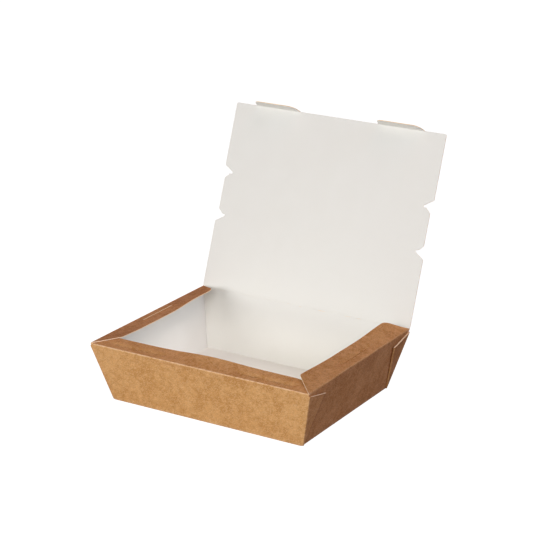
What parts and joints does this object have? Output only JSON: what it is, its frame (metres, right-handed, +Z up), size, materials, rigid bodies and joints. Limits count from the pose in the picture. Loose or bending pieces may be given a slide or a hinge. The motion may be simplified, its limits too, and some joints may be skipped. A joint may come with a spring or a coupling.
{
  "type": "folding takeaway food box",
  "caption": "Shallow tapered paperboard food box with inward rims, glued corner webs and a one-piece hinged lid with locking tabs and side ears.",
  "frame": {"origin": "under the middle of the floor, on the surface the box stands on", "axes": "+Z up, front wall towards -Y, lid hinge along X at the top of the rear wall, towards +Y"},
  "size_m": [0.1738, 0.1912, 0.1802],
  "materials": {
    "kraft_board": "uncoated brown kraft outside with fine fibre flecks, white coated liner inside"
  },
  "bodies": {
    "tray": {"tray": "kraft_board"},
    "lid": {"lid_panel": "kraft_board"},
    "right_tab": {"right_locking_tab": "kraft_board"},
    "left_tab": {"left_locking_tab": "kraft_board"},
    "right_ear": {"right_side_ear": "kraft_board"},
    "left_ear": {"left_side_ear": "kraft_board"}
  },
  "joints": [
    {"name": "lid_hinge", "type": "hinge", "parent": "tray", "child": "lid", "pos_m": [0, 0.07204, 0.04455], "axis": [1, 0, 0], "range_deg": [-85, 109.7]},
    {"name": "right_tab_fold", "type": "hinge", "parent": "lid", "child": "right_tab", "pos_m": [0, 0.11874, 0.17498], "axis": [1, 0, 0], "range_deg": [-77, 23]},
    {"name": "left_tab_fold", "type": "hinge", "parent": "lid", "child": "left_tab", "pos_m": [0, 0.11874, 0.17498], "axis": [1, 0, 0], "range_deg": [-77, 23]},
    {"name": "right_ear_fold", "type": "hinge", "parent": "lid", "child": "right_ear", "pos_m": [0.0803, 0.09001, 0.09473], "axis": [0, -0.3371, -0.9415], "range_deg": [0, 90]},
    {"name": "left_ear_fold", "type": "hinge", "parent": "lid", "child": "left_ear", "pos_m": [-0.0803, 0.09001, 0.09473], "axis": [0, 0.3371, 0.9415], "range_deg": [0, 90]}
  ]
}
